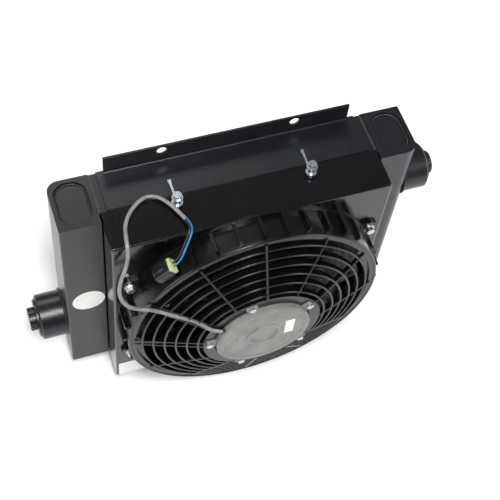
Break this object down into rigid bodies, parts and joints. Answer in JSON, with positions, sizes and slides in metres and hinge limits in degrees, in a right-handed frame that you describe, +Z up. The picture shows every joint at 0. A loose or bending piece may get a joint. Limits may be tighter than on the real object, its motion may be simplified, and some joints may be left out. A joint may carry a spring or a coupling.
{
  "type": "hydraulic oil cooler",
  "caption": "Bar-and-plate oil cooler with welded end tanks, side ports, drilled mounting flanges, a sheet shroud and a guarded 12 V axial fan on its front.",
  "frame": {"origin": "centre of the four mounting holes, on the rear face of the mounting flanges", "axes": "+X along the core from the left tank to the right tank, +Y to the rear out of the core, +Z up the height of the tanks"},
  "size_m": [0.519, 0.1732, 0.359],
  "materials": {
    "satin_black": "satin",
    "gloss_black": "gloss",
    "core_black": "matte",
    "bare_aluminium": "satin",
    "zinc": "bright zinc",
    "fan_plastic": "moulded",
    "cap_grey": "matte",
    "motor_black": "satin",
    "steel": "ground",
    "lamination": "stacked",
    "copper": "enamelled",
    "magnet": "matte",
    "carbon": "matte",
    "card_plastic": "matte",
    "plug_plastic": "moulded",
    "sleeve_grey": "satin",
    "wire_blue": "satin",
    "wire_black": "satin",
    "seal_green": "satin",
    "sticker_white": "paper"
  },
  "bodies": {
    "cooler": {"left_tank": "satin_black", "right_tank": "satin_black", "tank_end_plates": "satin_black", "left_port_boss": "satin_black", "right_port_boss": "satin_black", "header_plates": "core_black", "upper_side_bar": "satin_black", "lower_side_bar": "satin_black", "oil_tubes": "core_black", "oil_turbulators": "bare_aluminium", "air_fins": "core_black", "upper_mounting_flange": "satin_black", "lower_mounting_flange": "satin_black", "fan_shroud": "gloss_black", "shroud_rails": "gloss_black", "shroud_bolts": "zinc", "shroud_nuts": "zinc", "shroud_clips": "zinc", "fan_housing": "fan_plastic", "fan_guard": "fan_plastic", "fan_bolts": "zinc", "fan_nuts": "zinc", "motor_end_cap": "cap_grey", "motor_can": "motor_black", "motor_screws": "zinc", "motor_lead_outlet": "wire_black", "front_bearing": "steel", "rear_bearing": "steel", "magnets": "magnet", "brush_card": "card_plastic", "brushes": "carbon", "lead_sleeve": "sleeve_grey", "blue_wire": "wire_blue", "black_wire": "wire_black", "connector_body": "plug_plastic", "connector_seal": "seal_green", "connector_clip": "fan_plastic", "tank_sticker": "sticker_white", "shroud_label": "sticker_white", "motor_label": "sticker_white"},
    "fan_rotor": {"impeller": "fan_plastic", "impeller_nut": "zinc", "motor_shaft": "steel", "armature_core": "lamination", "windings": "copper", "commutator": "copper"},
    "left_plug": {"left_port_plug": "plug_plastic"},
    "right_plug": {"right_port_plug": "plug_plastic"}
  },
  "joints": [
    {"name": "fan_spin", "type": "hinge", "parent": "cooler", "child": "fan_rotor", "pos_m": [0, -0.116, -0.004], "axis": [0, 1, 0], "continuous": true},
    {"name": "left_plug_pull", "type": "slide", "parent": "cooler", "child": "left_plug", "axis": [-1, 0, 0], "range_m": [0, 0.04]},
    {"name": "right_plug_pull", "type": "slide", "parent": "cooler", "child": "right_plug", "axis": [1, 0, 0], "range_m": [0, 0.04]}
  ]
}
